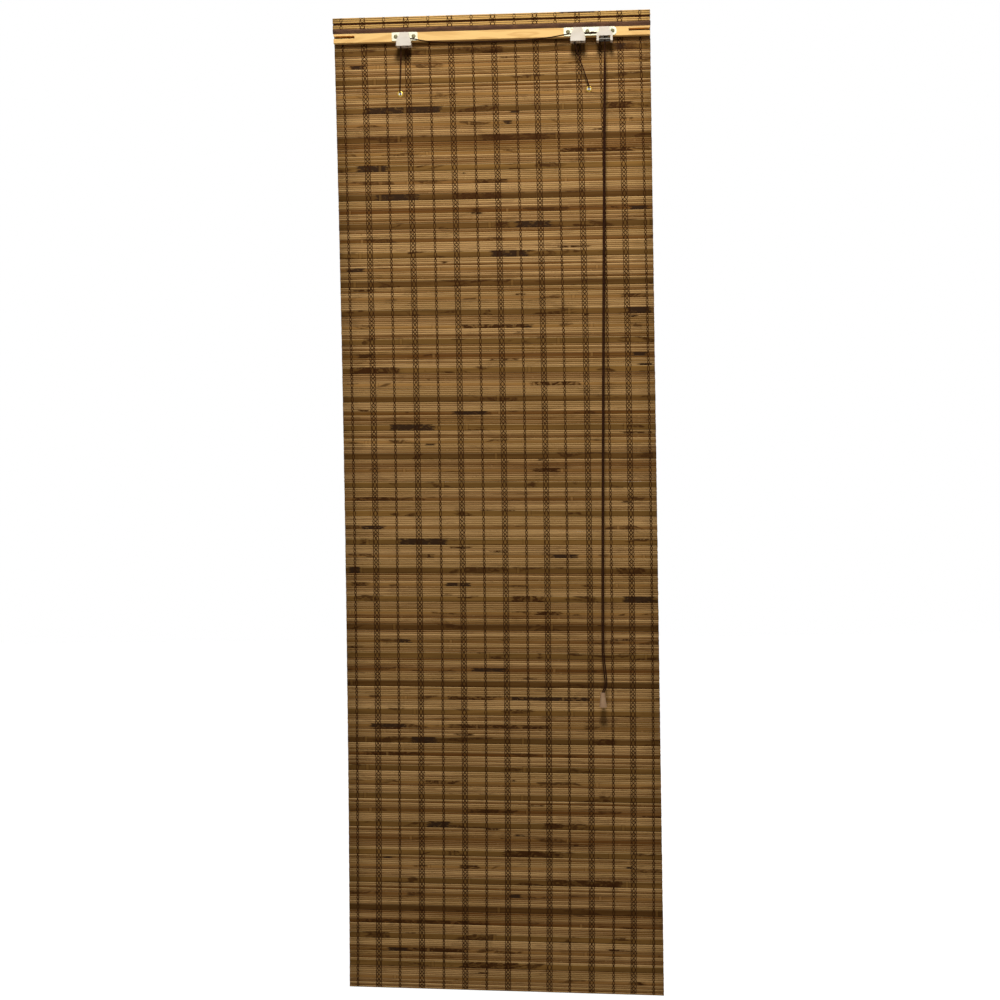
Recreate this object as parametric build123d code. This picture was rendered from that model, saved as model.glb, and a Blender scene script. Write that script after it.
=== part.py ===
"""Bamboo blind: a mat of thin bamboo reeds and flat slats tied with dark yarn, hung from a wood
headrail. Two lift cords run from the back of the mat through eyelets, over two guide pulleys and
into a cord lock, and their free ends hang beside each other down to one small bell.

Millimetres. +X is to the right and +Z is up as seen from the side with the hardware, and that side
faces -Y. The origin is midway between the two bracket slots, at mid depth of the headrail.
"""
from build123d import *
import math
import os

# Reed mat, from the wefts to the whole
mat_width = 600.0
reed_thickness = 2.2
slat_thickness = 1.6
valley_thickness = 0.9
reed_cell = 3.55
medium_cell = 6.9
wide_cell = 11.9
reeds_in_group = 5
wide_slats = 34
first_wide_z = 25.9
last_group_reeds = 5
crest_share = 0.5
slat_shoulder = 0.7
left_edge = -mat_width / 2
right_edge = mat_width / 2

# Headrail: a planed wood lath with a bracket slot sawn into each end
rail_end_gap = 1.0
rail_length = mat_width - 2 * rail_end_gap
rail_depth = 12.0
rail_above_slot = 33.6
rail_below_slot = 11.0
rail_edge_radius = 1.0
slot_length = 40.0
slot_height = 5.0
slotted_end_length = 60.0

# Yarn that ties the wefts: narrow chains, and a wide pair of chains midway between them
column_shares = [-0.92, -0.65, -0.37, -0.097, 0.173, 0.43, 0.707, 0.96]
narrow_columns = [share * mat_width / 2 for share in column_shares]
column_bow = 8.0
yarn_thickness = 0.5
narrow_chain_width = 4.6
wide_chain_width = 3.6
wide_chain_spread = 7.2

# Gaps that let light through between the reeds
gap_height = 0.7
gaps_per_period = 2
gap_inset = 9.0

# Strip of mat folded over the top of the headrail, and the tape that covers its cut end
band_reeds_above = 3
band_groove_cell = 2.6
band_groove_depth = 1.3
band_groove_slope = 0.3
band_reeds_below = 3
top_leaf_cells = 5
tape_bottom_z = 6.3
tape_height = 8.2
tape_thickness = 0.7
tape_step = 1.0

# Staples that hold the mat to the back of the headrail
staple_bays = [0, 2, 3, 5, 6]
staple_crown = 10.0
staple_wire = 0.8
staple_leg = 7.0
staple_gap = 0.05

# Cords
cord_d = 2.4
cord_clearance = 0.3

# Guide and lock plates, bent from zinc-plated sheet
plate_thickness = 1.2
plate_height = 15.8
plate_top_gap = 0.2
left_plate_left_x = left_edge + 112.0
left_plate_right_x = left_edge + 161.0
right_plate_left_x = right_edge - 163.0
right_plate_right_x = right_edge - 64.0
plate_corner = 2.0
right_plate_end_radius = 6.0
tongue_half_width = 8.0
guide_tongue_drop = 9.0
lock_tongue_drop = 7.0
plate_window = (6.0, 4.0)
plate_window_x = right_edge - 109.5
plate_lug_reach = 3.0
plate_hole_d = 2.4
plate_hole = (right_edge - 147.4, 2.4)

# Screws
screw_head_d = 7.4
screw_head_height = 2.0
screw_shank_d = 3.2
screw_length = 11.0
screw_hole_gap = 0.05
screw_rim = 0.8
screw_crown = 1.2
screw_recess = (0.9, 4.4, 1.0)
left_screw_x = [left_edge + 119.5, left_edge + 153.5]
right_screw_x = [right_edge - 155.0, right_edge - 118.5, right_edge - 71.0]

# Cord guides: a moulded hood with a pulley inside
left_guide_x = left_edge + 136.0
right_guide_x = right_edge - 136.5
housing_wall = 1.8
hood_depth = 20.0
hood_top_z = 5.0
hood_bottom_z = -23.7
hood_top_depth = 5.8
hood_slope_z = -8.0
hood_half_widths = [(8.3, 5.0), (9.6, -2.0), (12.8, -11.0), (14.0, -17.0)]
notch_width = 5.0
window_height = 6.5
boss_d = 6.0
roof_gap = 1.2
socket_depth = 0.5
groove_set_back = 0.7

# Pulleys, each with a groove for either cord
cord_top_z = -7.5
groove_pitch = 5.4
guide_wrap_r = 6.3
lock_wrap_r = 4.2
groove_depth = 1.9
groove_floor = 2.2
groove_flare = 0.5
pulley_rim = 0.7
pulley_gap = 0.3
guide_axle_d = 3.2
lock_axle_d = 2.4
running_gap = 0.06
shoulder_d = 6.0

# Cord lock: a moulded body, open below, with a fixed roller and a grip roller in two slots
lock_x = right_edge - 86.5
lock_half_width = 15.0
lock_neck_half_width = 9.5
lock_top_z = 5.0
lock_bottom_z = -24.5
lock_shoulder = (-5.0, -10.0)
lock_leg = 4.2
lock_roof_inset = 3.0
grip_slot_gap = 0.15
grip_ridge_half = 0.15
lock_front_window_z = -15.0
roller_z = -20.5
front_roller_y = -23.2
front_roller_d = 3.2
roller_axle_d = 1.8
grip_pin_y = -9.7
grip_sleeve_d = 3.2
grip_travel = 3.5
grip_ridges = 8
roller_end_gap = 0.4
pin_end_recess = 1.2

# Eyelets and the rings behind the mat
left_eyelet_x = left_edge + 125.0
right_eyelet_x = right_edge - 117.0
eyelet_z = -107.0
eyelet_hole_d = 6.0
eyelet_wall = 0.4
eyelet_flange_d = 11.0
eyelet_flange = 0.6
eyelet_roll = 0.5
eyelet_mat_gap = 0.2
washer_gap = 0.05
ring_wire_d = 1.2
ring_inside_d = 5.2
ring_first_period = 7
ring_every = 5
ring_tie_width = 3.0
ring_tie_thickness = 0.7

# Batten behind the bottom of the mat
batten_end_gap = 5.0
batten_length = mat_width - 2 * batten_end_gap
batten_height = 22.0
batten_thickness = 5.0
batten_edge_radius = 1.0
batten_period = 33
strap_width = 4.0
strap_thickness = 0.8
strap_bays = [0, 2, 4, 6]

# Slack stretch of the left lift cord along the rail, as (share of the way between the guides, how
# far it stands back from its groove, how far it hangs below its top)
slack_run = [(0.128, 0.4, 6.6), (0.244, 0.8, 8.9), (0.409, 0.9, 9.7), (0.586, 0.9, 9.6),
             (0.745, 0.7, 8.4), (0.861, 0.4, 4.8)]
slack_start = 14.0
slack_end = 6.0

# Free ends of the cords, and what is on them
tassel_x = right_edge - 107.7
tassel_top_z = -1246.0
tassel_height = 27.5
tassel_top_d = 9.0
tassel_bottom_d = 15.0
tassel_wall = 1.5
tassel_hole_d = 5.4
tassel_strand_x = 1.35
tassel_chamfer = 0.8
tassel_flare = 0.9
knot_d = 6.4
knot_height = 6.0
stop_knot_d = 6.0
stop_knot_height = 5.0
knot_rounding = 1.2

# Places that follow from the sizes
rail_front = -rail_depth / 2
rail_back = rail_depth / 2
period = wide_cell + medium_cell + 2 * reeds_in_group * reed_cell
mat_front = rail_back + yarn_thickness
mat_middle = mat_front + reed_thickness / 2
mat_back = mat_front + reed_thickness
slat_front = mat_middle - slat_thickness / 2
slat_back = mat_middle + slat_thickness / 2
mat_top_z = first_wide_z + wide_cell / 2
bottom_medium_z = first_wide_z - (wide_slats - 0.5) * period
mat_bottom_z = bottom_medium_z - medium_cell / 2 - last_group_reeds * reed_cell
plate_front = rail_front - plate_thickness
plate_top_z = tape_bottom_z - plate_top_gap
plate_bottom_z = plate_top_z - plate_height
plate_middle_z = (plate_top_z + plate_bottom_z) / 2
housing_front = plate_front - hood_depth
rear_groove_y = plate_front - hood_depth / 2 + groove_pitch / 2 + groove_set_back
front_groove_y = rear_groove_y - groove_pitch
pulley_y = (rear_groove_y + front_groove_y) / 2
pulley_half = groove_pitch / 2 + groove_floor / 2 + groove_flare + pulley_rim
wide_columns = [(a + b) / 2 for a, b in zip(narrow_columns, narrow_columns[1:])]
wide_column_half = (wide_chain_spread + wide_chain_width) / 2
mat_middle_z = (mat_top_z + mat_bottom_z) / 2


def bow(z):
    """Sideways place of a yarn column at height z: the columns bow a little to one side."""
    return -column_bow * ((z - mat_middle_z) / (mat_top_z - mat_middle_z)) ** 2


def bare_place(bay, z):
    """Middle of the bare reeds between a narrow column and the wide one to its right."""
    left = narrow_columns[bay] + narrow_chain_width / 2
    right = wide_columns[bay] - wide_column_half
    return (left + right) / 2 + bow(z)


staple_columns = [bare_place(bay, first_wide_z) for bay in staple_bays]


def prism_x(points, x0, x1):
    """Solid with the outline points (y, z), from x0 to x1."""
    face = make_face(Polyline(*points, close=True))
    return Pos(x0, 0, 0) * extrude(Plane.YZ * face, amount=x1 - x0)


def prism_y(points, y0, y1):
    """Solid with the outline points (x, z), from y0 back to the deeper y1."""
    face = make_face(Polyline(*points, close=True))
    return Pos(0, y1, 0) * extrude(Plane.XZ * face, amount=y1 - y0)


def block(x0, x1, y0, y1, z0, z1):
    return Pos((x0 + x1) / 2, (y0 + y1) / 2, (z0 + z1) / 2) * Box(x1 - x0, y1 - y0, z1 - z0)


def rod_x(x0, x1, y, z, d):
    return Pos((x0 + x1) / 2, y, z) * Rot(0, 90, 0) * Cylinder(d / 2, x1 - x0)


def rod_y(x, y0, y1, z, d):
    return Pos(x, (y0 + y1) / 2, z) * Rot(90, 0, 0) * Cylinder(d / 2, y1 - y0)


def turned_y(points, x, y, z):
    """Solid turned about the line through x and z along Y; points are (radius, y offset)."""
    face = make_face(Polyline(*points, close=True))
    return Pos(x, y, z) * revolve(face, Axis.Y)


def group(solids):
    return Compound(children=list(solids))


# Reed mat

def weft_cells():
    """Cells of the hanging mat from the top down: (kind, upper edge, lower edge)."""
    cells = []
    z = mat_top_z

    def add(kind, height):
        nonlocal z
        cells.append((kind, z, z - height))
        z -= height

    for number in range(wide_slats):
        add("wide", wide_cell)
        for _ in range(reeds_in_group):
            add("reed", reed_cell)
        add("medium", medium_cell)
        last = number == wide_slats - 1
        for _ in range(last_group_reeds if last else reeds_in_group):
            add("reed", reed_cell)
    return cells


def front_outline(cells):
    """Each weft is a flat-topped ridge with a valley on either side."""
    points = []
    for kind, upper, lower in cells:
        if kind == "reed":
            shoulder = (upper - lower) * (1 - crest_share) / 2
            crest = mat_front
        else:
            shoulder = slat_shoulder
            crest = slat_front
        points.append((mat_middle - valley_thickness / 2, upper))
        points.append((crest, upper - shoulder))
        points.append((crest, lower + shoulder))
    points.append((mat_middle - valley_thickness / 2, cells[-1][2]))
    return points


def back_outline(cells):
    """The back has the slats as on the front, and each reed as a ridge with one edge."""
    points = []
    for kind, upper, lower in cells:
        points.append((mat_middle + valley_thickness / 2, upper))
        if kind == "reed":
            points.append((mat_back, (upper + lower) / 2))
        else:
            points.append((slat_back, upper - slat_shoulder))
            points.append((slat_back, lower + slat_shoulder))
    points.append((mat_middle + valley_thickness / 2, cells[-1][2]))
    return points


def light_gaps():
    """Slits through the mat, each between two reeds and between two neighbouring columns."""
    columns = sorted(narrow_columns + wide_columns)
    bays = list(zip(columns, columns[1:]))
    slits = []
    for number in range(1, wide_slats):
        group_top = first_wide_z - number * period - wide_cell / 2
        for part in range(gaps_per_period):
            upper = group_top - part * (reeds_in_group * reed_cell + medium_cell)
            z = upper - (1 + (3 * number + 2 * part) % (reeds_in_group - 1)) * reed_cell
            left, right = bays[(5 * number + 7 * part) % len(bays)]
            slits.append(block(left + gap_inset, right - gap_inset, mat_front - 1, mat_back + 1,
                               z - gap_height / 2, z + gap_height / 2))
    return slits


def eyelet_holes():
    hole_d = eyelet_hole_d + 2 * eyelet_wall + 2 * eyelet_mat_gap
    return [rod_y(x, mat_front - 1, mat_back + 1, eyelet_z, hole_d)
            for x in (left_eyelet_x, right_eyelet_x)]


def staple_leg_blocks(extra):
    half = staple_wire / 2 + extra
    return [block(x + side - half, x + side + half, slat_back - staple_leg - extra, slat_back + 1,
                  first_wide_z - half, first_wide_z + half)
            for x in staple_columns
            for side in (-(staple_crown - staple_wire) / 2, (staple_crown - staple_wire) / 2)]


def shade_mat():
    cells = weft_cells()
    outline = front_outline(cells) + back_outline(cells)[::-1]
    sheet = prism_x(outline, -mat_width / 2, mat_width / 2)
    return sheet - (light_gaps() + eyelet_holes() + staple_leg_blocks(staple_gap))


def chain_strips(y0, y1):
    """The chains of yarn as flat strips lying on the crests of the reeds."""
    heights = [mat_top_z, mat_middle_z, mat_bottom_z]
    chains = [(x, narrow_chain_width) for x in narrow_columns]
    for x in wide_columns:
        chains.append((x - wide_chain_spread / 2, wide_chain_width))
        chains.append((x + wide_chain_spread / 2, wide_chain_width))
    strips = []
    for x, width in chains:
        left = [(x - width / 2 + bow(z), z) for z in heights]
        right = [(x + width / 2 + bow(z), z) for z in heights]
        strips.append(prism_y(left + right[::-1], y0, y1))
    return group(strips)


def mat_staples():
    legs = staple_leg_blocks(0.0)
    wire = staple_wire / 2
    solids = []
    for i, x in enumerate(staple_columns):
        crown = block(x - staple_crown / 2, x + staple_crown / 2, slat_back,
                      slat_back + staple_wire, first_wide_z - wire, first_wide_z + wire)
        solids.append(crown + legs[2 * i] + legs[2 * i + 1])
    return group(solids)


# Head: rail, folded strip of mat and tape

def head_band_outline():
    """Outline (y, z) of the strip of mat that is folded over the top of the headrail."""
    front = rail_front - reed_thickness
    top = rail_above_slot + reed_thickness
    dip = (reed_thickness - valley_thickness) / 2
    points = []
    leaf = mat_back - front
    cell = leaf / top_leaf_cells
    for i in range(top_leaf_cells):
        right = mat_back - i * cell
        shoulder = cell * (1 - crest_share) / 2
        points += [(right, top - dip), (right - shoulder, top), (right - cell + shoulder, top)]
    z = top
    kinds = ["reed"] * band_reeds_above + ["groove"] + ["reed"] * band_reeds_below
    for kind in kinds:
        if kind == "groove":
            floor = front + band_groove_depth
            points += [(floor, z - band_groove_slope),
                       (floor, z - band_groove_cell + band_groove_slope)]
            z -= band_groove_cell
        else:
            shoulder = reed_cell * (1 - crest_share) / 2
            points += [(front + dip, z), (front, z - shoulder), (front, z - reed_cell + shoulder)]
            z -= reed_cell
    points += [(front + dip, z), (rail_front, z), (rail_front, rail_above_slot),
               (mat_back, rail_above_slot)]
    return points


def head_mat_band():
    return prism_x(head_band_outline(), -mat_width / 2, mat_width / 2)


def head_band_yarns():
    front = rail_front - reed_thickness
    top = rail_above_slot + reed_thickness
    low = tape_bottom_z + tape_height
    angle = [(front, low), (front, top), (mat_back, top), (mat_back, top + yarn_thickness),
             (front - yarn_thickness, top + yarn_thickness), (front - yarn_thickness, low)]
    chains = [(x, narrow_chain_width) for x in narrow_columns]
    for x in wide_columns:
        chains.append((x - wide_chain_spread / 2, wide_chain_width))
        chains.append((x + wide_chain_spread / 2, wide_chain_width))
    shift = bow(mat_top_z)
    return group([prism_x(angle, x + shift - w / 2, x + shift + w / 2) for x, w in chains])


def binding_tape():
    """Tape that lies over the last reed of the folded strip and steps down onto the rail."""
    front = rail_front - reed_thickness
    band_end = (rail_above_slot + reed_thickness - band_groove_cell
                - (band_reeds_above + band_reeds_below) * reed_cell)
    top = tape_bottom_z + tape_height
    outline = [(front, top), (front, band_end), (rail_front, band_end), (rail_front, tape_bottom_z),
               (rail_front - tape_thickness, tape_bottom_z),
               (front - tape_thickness, band_end - tape_step), (front - tape_thickness, top)]
    return prism_x(outline, -mat_width / 2, mat_width / 2)


def headrail_lath():
    """The whole lath, with its slots, screw holes and staple holes."""
    half = rail_length / 2
    rail = block(-half, half, rail_front, rail_back, -rail_below_slot, rail_above_slot)
    long_edges = rail.edges().filter_by(Axis.X).group_by(Axis.Z)[0]
    rail = fillet(long_edges, rail_edge_radius)
    cuts = []
    for outer, inner in ((-half - 1, slot_length - half), (half - slot_length, half + 1)):
        cuts.append(block(outer, inner, rail_front - 1, rail_back + 1,
                          -slot_height / 2, slot_height / 2))
    hole = screw_shank_d + 2 * screw_hole_gap
    depth = screw_length - plate_thickness + 0.5
    for x in left_screw_x + right_screw_x:
        cuts.append(rod_y(x, rail_front - 1, rail_front + depth, plate_middle_z, hole))
    return rail - (cuts + staple_leg_blocks(staple_gap))


def rail_stretch(x0, x1):
    """The lath from x0 to x1: its middle, or one of the slotted ends that meet it flush."""
    return headrail_lath() & block(x0, x1, rail_front - 1, rail_back + 1,
                                   -rail_below_slot - 1, rail_above_slot + 1)


# Plates and screws

def plate_outline(x0, x1, right_radius):
    body = Pos((x0 + x1) / 2, plate_middle_z) * Rectangle(x1 - x0, plate_height)
    corners = body.vertices().sort_by(Axis.X)
    body = fillet(corners[:2], plate_corner)
    corners = body.vertices().sort_by(Axis.X)
    return fillet(corners[-2:], right_radius)


def plate(x0, x1, right_radius, tongues, screws, windows=()):
    """Flat plate on the rail, with a tongue that hangs behind each housing for its axle. A lug cut
    from each window is bent forward at the window's edge."""
    face = plate_outline(x0, x1, right_radius)
    for x, drop, _, _ in tongues:
        top, low = plate_bottom_z + 1, plate_bottom_z - drop
        face += Pos(x, (top + low) / 2) * Rectangle(2 * tongue_half_width, top - low)
    for x in screws:
        face -= Pos(x, plate_middle_z) * Circle(screw_shank_d / 2 + screw_hole_gap)
    for _, _, axle, axle_d in tongues:
        face -= Pos(*axle) * Circle(axle_d / 2 + screw_hole_gap)
    window_z = plate_bottom_z + plate_height / 3
    for x in windows:
        face -= Pos(x, window_z) * Rectangle(*plate_window)
        face -= Pos(*plate_hole) * Circle(plate_hole_d / 2)
    sheet = Pos(0, rail_front, 0) * extrude(Plane.XZ * face, amount=plate_thickness)
    for x in windows:
        edge, half = x - plate_window[0] / 2, plate_window[1] / 2
        sheet += block(edge - plate_thickness, edge, plate_front - plate_lug_reach, rail_front,
                       window_z - half, window_z + half)
    return sheet


def screws(columns):
    solids = []
    head_back = plate_front
    for x in columns:
        head = turned_y([(0, 0), (screw_head_d / 2, 0), (screw_head_d / 2, -screw_rim),
                         (screw_head_d / 2 - screw_crown, -screw_head_height + 0.3),
                         (0.0, -screw_head_height)], x, head_back, plate_middle_z)
        shank = rod_y(x, head_back - 0.1, head_back + screw_length, plate_middle_z, screw_shank_d)
        blade, span, deep = screw_recess
        front = head_back - screw_head_height
        cross = [block(x - a / 2, x + a / 2, front - 1, front + deep,
                       plate_middle_z - b / 2, plate_middle_z + b / 2)
                 for a, b in ((blade, span), (span, blade))]
        solids.append((head + shank) - cross)
    return group(solids)


# Pulleys and axles

def pulley(x, z, wrap_r, bore_d):
    """Pulley on a Y axle with two grooves; a cord's centreline turns round it at wrap_r."""
    floor_r = wrap_r - cord_d / 2 - cord_clearance
    rim_r = floor_r + groove_depth
    half, pitch, flat = pulley_half, groove_pitch / 2, groove_floor / 2
    wide = flat + groove_flare
    points = [(bore_d / 2, -half), (rim_r, -half), (rim_r, -pitch - wide), (floor_r, -pitch - flat),
              (floor_r, -pitch + flat), (rim_r, -pitch + wide), (rim_r, pitch - wide),
              (floor_r, pitch - flat), (floor_r, pitch + flat), (rim_r, pitch + wide),
              (rim_r, half), (bore_d / 2, half)]
    return turned_y(points, x, pulley_y, z)


def pulley_axle(x, z, axle_d, shoulder):
    """Axle riveted into the plate's tongue, with a shoulder behind the pulley."""
    front = housing_front + housing_wall - socket_depth + 0.1
    pin = rod_y(x, front, rail_front, z, axle_d)
    collar = rod_y(x, pulley_y + pulley_half + pulley_gap, plate_front, z, shoulder)
    return pin + collar


def front_boss(x, z, axle_d, outer_d):
    """Boss inside a housing's front wall that carries the front end of the axle."""
    inside = housing_front + housing_wall
    return rod_y(x, inside - 0.2, pulley_y - pulley_half - pulley_gap, z, outer_d)


def axle_socket(x, z, axle_d):
    return rod_y(x, housing_front + housing_wall - socket_depth, plate_front, z, axle_d + 2 * screw_hole_gap)


# Guide hoods

def hood_front_outline(x, inset, top, bottom):
    right = [(x + w - inset, z) for w, z in hood_half_widths if bottom < z < top]
    first = half_width_at(top) - inset
    last = half_width_at(bottom) - inset
    right = [(x + first, top)] + right + [(x + last, bottom)]
    left = [(2 * x - px, pz) for px, pz in right]
    return right + left[::-1]


def half_width_at(z):
    """Half width of the hood at height z, seen from the front."""
    for (w0, z0), (w1, z1) in zip(hood_half_widths, hood_half_widths[1:]):
        if z1 <= z <= z0:
            return w0 + (w1 - w0) * (z0 - z) / (z0 - z1)
    return hood_half_widths[-1][0] if z < hood_half_widths[-1][1] else hood_half_widths[0][0]


def housing_side_outline(top, bottom):
    """Side of a housing: shallow at the top of the plate, sloping out to its full depth."""
    return [(plate_front, top), (plate_front - hood_top_depth, top),
            (housing_front, hood_slope_z), (housing_front, bottom), (plate_front, bottom)]


def cavity_side_outline(top, bottom, floor):
    """Inside of a housing, open at its back, and at the bottom where floor is 0."""
    front = housing_front + housing_wall
    slope = (hood_slope_z - top) / (hood_depth - hood_top_depth)
    roof = cord_top_z + cord_d + roof_gap
    back_of_slope = (roof - top) / slope
    roof_y = plate_front - hood_top_depth - back_of_slope + housing_wall * 1.25
    return [(plate_front + 1, roof), (roof_y, roof), (front, hood_slope_z - 0.6),
            (front, bottom + floor), (plate_front + 1, bottom + floor)]


def guide_hood(x):
    top, bottom = hood_top_z, hood_bottom_z
    outer = prism_y(hood_front_outline(x, 0.0, top, bottom), housing_front, plate_front)
    outer = outer & prism_x(housing_side_outline(top, bottom), x - 20, x + 20)
    inner_top, inner_bottom = cord_top_z + cord_d + roof_gap, bottom + housing_wall
    inner = prism_y(hood_front_outline(x, housing_wall, inner_top, inner_bottom),
                    housing_front, plate_front + 1)
    inner = inner & prism_x(cavity_side_outline(top, bottom, housing_wall), x - 20, x + 20)
    front_edges = outer.edges().filter_by_position(Axis.Y, housing_front - 0.01, housing_front + 0.01)
    outer = fillet(front_edges.filter_by(Axis.Z, reverse=True).filter_by(Axis.X, reverse=True), 1.0)
    axle_z = cord_top_z - guide_wrap_r
    hood = outer - inner
    hood += front_boss(x, axle_z, guide_axle_d, boss_d)
    cord_side = guide_wrap_r
    cuts = [axle_socket(x, axle_z, guide_axle_d)]
    for side in (-1, 1):
        centre = x + side * cord_side
        cuts.append(block(centre - notch_width / 2, centre + notch_width / 2,
                          front_groove_y - cord_d, rear_groove_y + cord_d,
                          bottom - 1, bottom + housing_wall + 1))
    cuts.append(block(x - 20, x + 20, front_groove_y - cord_d, rear_groove_y + cord_d,
                      cord_top_z - window_height / 2 - 0.6, cord_top_z + window_height / 2 - 1.0))
    return hood - cuts


# Cord lock

def lock_front_outline(inset, top, bottom):
    upper, lower = lock_shoulder
    neck, wide = lock_neck_half_width - inset, lock_half_width - inset
    right = [(lock_x + neck, top), (lock_x + neck, upper), (lock_x + wide, lower),
             (lock_x + wide, bottom)]
    left = [(2 * lock_x - px, pz) for px, pz in right]
    return right + left[::-1]


def grip_slot(x0, x1):
    """Upright slot through a leg of the lock for the grip pin."""
    width = roller_axle_d + 2 * grip_slot_gap
    low = rod_x(x0, x1, grip_pin_y, roller_z, width)
    high = rod_x(x0, x1, grip_pin_y, roller_z + grip_travel, width)
    middle = block(x0, x1, grip_pin_y - width / 2, grip_pin_y + width / 2,
                   roller_z, roller_z + grip_travel)
    return [low, high, middle]


def lock_housing():
    top, bottom = lock_top_z, lock_bottom_z
    outer = prism_y(lock_front_outline(0.0, top, bottom), housing_front, plate_front)
    outer = outer & prism_x(housing_side_outline(top, bottom), lock_x - 20, lock_x + 20)
    inner_half = lock_half_width - lock_leg
    roof = cord_top_z + cord_d + roof_gap
    outline = [(lock_x - inner_half + lock_roof_inset, roof), (lock_x + inner_half - lock_roof_inset, roof),
               (lock_x + inner_half, lock_shoulder[1]), (lock_x + inner_half, bottom - 1),
               (lock_x - inner_half, bottom - 1), (lock_x - inner_half, lock_shoulder[1])]
    inner = prism_y(outline, housing_front, plate_front + 1)
    inner = inner & prism_x(cavity_side_outline(top, bottom - 1, 0.0), lock_x - 20, lock_x + 20)
    pulley_x, pulley_z = lock_x - lock_wrap_r, cord_top_z - lock_wrap_r
    body = (outer - inner) + front_boss(pulley_x, pulley_z, lock_axle_d, boss_d - 1.0)
    left, right = lock_x - lock_half_width - 1, lock_x + lock_half_width + 1
    cuts = [axle_socket(pulley_x, pulley_z, lock_axle_d),
            block(lock_x - inner_half, lock_x + inner_half, housing_front - 1,
                  housing_front + housing_wall + 1, bottom - 1, lock_front_window_z),
            block(left, lock_x, front_groove_y - cord_d, rear_groove_y + cord_d,
                  cord_top_z - window_height / 2, cord_top_z + cord_d + roof_gap),
            rod_x(left + 1 + pin_end_recess, right - 1 - pin_end_recess, front_roller_y, roller_z,
                  roller_axle_d + 2 * screw_hole_gap)]
    return body - (cuts + grip_slot(left, right))


def roller(y, outer_d, ridges):
    """Roller that spins on a pin along X; the grip roller has ridges along its length."""
    half = lock_half_width - lock_leg - roller_end_gap
    body = rod_x(lock_x - half, lock_x + half, y, roller_z, outer_d)
    cuts = [rod_x(lock_x - half - 1, lock_x + half + 1, y, roller_z,
                  roller_axle_d + 2 * running_gap)]
    for i in range(ridges):
        turn = 2 * math.pi * i / ridges
        gy, gz = y + outer_d / 2 * math.cos(turn), roller_z + outer_d / 2 * math.sin(turn)
        cuts.append(block(lock_x - half - 1, lock_x + half + 1, gy - grip_ridge_half,
                          gy + grip_ridge_half, gz - grip_ridge_half, gz + grip_ridge_half))
    return body - cuts


def roller_pin(y, recess):
    half = lock_half_width - recess
    return rod_x(lock_x - half, lock_x + half, y, roller_z, roller_axle_d)


# Eyelets, washers, rings and their ties

def eyelet(x):
    inner, outer = eyelet_hole_d / 2, eyelet_hole_d / 2 + eyelet_wall
    flange = eyelet_flange_d / 2
    back = mat_back - mat_front + eyelet_flange
    points = [(inner, -eyelet_flange), (inner + eyelet_roll, -eyelet_flange - eyelet_roll),
              (flange - eyelet_roll, -eyelet_flange),
              (flange, 0), (outer, 0), (outer, back), (inner, back)]
    return turned_y(points, x, mat_front, eyelet_z)


def eyelet_washer(x):
    inner = eyelet_hole_d / 2 + eyelet_wall + washer_gap
    points = [(inner, 0), (eyelet_flange_d / 2, 0), (eyelet_flange_d / 2, eyelet_flange),
              (inner, eyelet_flange)]
    return turned_y(points, x, mat_back, eyelet_z)


ring_mean_r = ring_inside_d / 2 + ring_wire_d / 2
ring_y = mat_back + 0.1 + ring_inside_d / 2 + ring_wire_d
ring_periods = range(ring_first_period, wide_slats, ring_every)
rear_cord_y = ring_y


def ring_heights():
    return [first_wide_z - number * period for number in ring_periods]


def lift_rings(x):
    return group([Pos(x, ring_y, z) * Torus(ring_mean_r, ring_wire_d / 2) for z in ring_heights()])


def ring_ties(x):
    """A lashing of yarn round the near side of each ring, tied to a wide slat."""
    half, high = ring_tie_width / 2, ring_wire_d / 2 + ring_tie_thickness
    ties = []
    for z in ring_heights():
        loop = block(x - half, x + half, slat_back, ring_y - ring_mean_r + ring_wire_d / 2 + 0.5,
                     z - high, z + high)
        ties.append(loop - Pos(x, ring_y, z) * Torus(ring_mean_r, ring_wire_d / 2 + 0.03))
    return group(ties)


# Bottom batten and its straps

batten_z = first_wide_z - batten_period * period
batten_front = mat_back + yarn_thickness


def bottom_batten():
    batten = block(-batten_length / 2, batten_length / 2, batten_front,
                   batten_front + batten_thickness,
                   batten_z - batten_height / 2, batten_z + batten_height / 2)
    return fillet(batten.edges().filter_by(Axis.X), batten_edge_radius)


def batten_straps():
    """Loops of yarn over the back of the batten, with both ends on the mat."""
    inner, outer = batten_height / 2, batten_height / 2 + strap_thickness
    back = batten_front + batten_thickness
    outline = [(mat_back, outer), (back + strap_thickness, outer), (back + strap_thickness, -outer),
               (mat_back, -outer), (mat_back, -inner), (back, -inner), (back, inner),
               (mat_back, inner)]
    outline = [(y, batten_z + z) for y, z in outline]
    return group([prism_x(outline, x - strap_width / 2, x + strap_width / 2)
                  for x in [bare_place(bay, batten_z) for bay in strap_bays]])


# Cords

def corner_radii(points, fixed):
    """A radius for each corner: as large as the two runs allow, or the guide's own size."""
    radii = []
    for i in range(1, len(points) - 1):
        before = Vector(*points[i]) - Vector(*points[i - 1])
        after = Vector(*points[i + 1]) - Vector(*points[i])
        turn = math.radians(before.get_angle(after))
        largest = 0.45 * min(before.length, after.length) / math.tan(turn / 2)
        radii.append(fixed.get(i, largest))
    return radii


def cord_tube(name, points, fixed=None):
    """Tube along straight runs joined by arcs; the volume is compared with section times length."""
    radii = corner_radii(points, fixed or {})
    path = FilletPolyline(*points, radius=radii)
    start = Vector(*points[1]) - Vector(*points[0])
    section = Plane(origin=points[0], z_dir=start) * Circle(cord_d / 2)
    tube = sweep(section, path=path)
    expected = math.pi * cord_d ** 2 / 4 * path.length
    print(name, "length", round(path.length, 1), "radii", [round(r, 1) for r in radii],
          "volume share", round(tube.volume / expected, 4))
    return tube


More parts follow.
